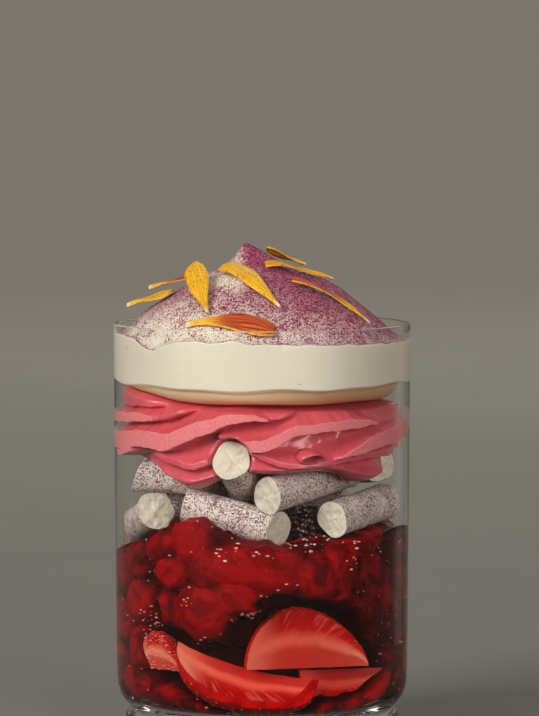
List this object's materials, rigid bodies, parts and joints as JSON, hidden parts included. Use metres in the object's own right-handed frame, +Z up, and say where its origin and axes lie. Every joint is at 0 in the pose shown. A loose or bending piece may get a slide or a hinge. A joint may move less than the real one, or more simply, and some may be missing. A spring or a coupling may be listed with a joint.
{
  "type": "strawberry sundae in a tumbler",
  "caption": "Layered dessert in a straight clear glass: strawberry compote, dusted meringue sticks, ruffled pink ice cream and a peaked white cream dome with petals.",
  "frame": {"origin": "centre of the glass's foot, on the surface that it stands on", "axes": "+Z up; the side that faces the camera in the picture faces -Y"},
  "size_m": [0.08, 0.08, 0.1344],
  "materials": {
    "glass": "clear, polished",
    "white_cream": "soft satin, dusted with berry powder on the dome",
    "pink_ice_cream": "soft, moist",
    "strawberry_compote": "wet gloss",
    "strawberry": "wet gloss",
    "meringue": "dry, speckled with berry powder",
    "bramble": "gloss",
    "petal": "soft satin"
  },
  "bodies": {
    "root": {"bramble": "bramble", "glass": "glass", "meringue_back_left_lower": "meringue", "meringue_back_left_upper": "meringue", "meringue_back_lower": "meringue", "meringue_back_right_lower": "meringue", "meringue_back_right_upper": "meringue", "meringue_back_upper": "meringue", "meringue_front_leaning": "meringue", "meringue_front_lying": "meringue", "meringue_inner_lower": "meringue", "meringue_inner_upper": "meringue", "meringue_left_lower": "meringue", "meringue_left_upper": "meringue", "meringue_middle_lower": "meringue", "meringue_middle_upper": "meringue", "meringue_right_lower": "meringue", "meringue_right_upper": "meringue", "petal_back_left": "petal", "petal_back_right": "petal", "petal_centre": "petal", "petal_front": "petal", "petal_left_behind": "petal", "petal_left_near": "petal", "petal_right": "petal", "petal_right_behind": "petal", "petal_right_edge": "petal", "petal_upright": "petal", "pink_ice_cream": "pink_ice_cream", "strawberry_compote": "strawberry_compote", "strawberry_crushed_left": "strawberry", "strawberry_front_left": "strawberry", "strawberry_front_right": "strawberry", "strawberry_low_right": "strawberry", "white_cream": "white_cream"}
  },
  "joints": []
}
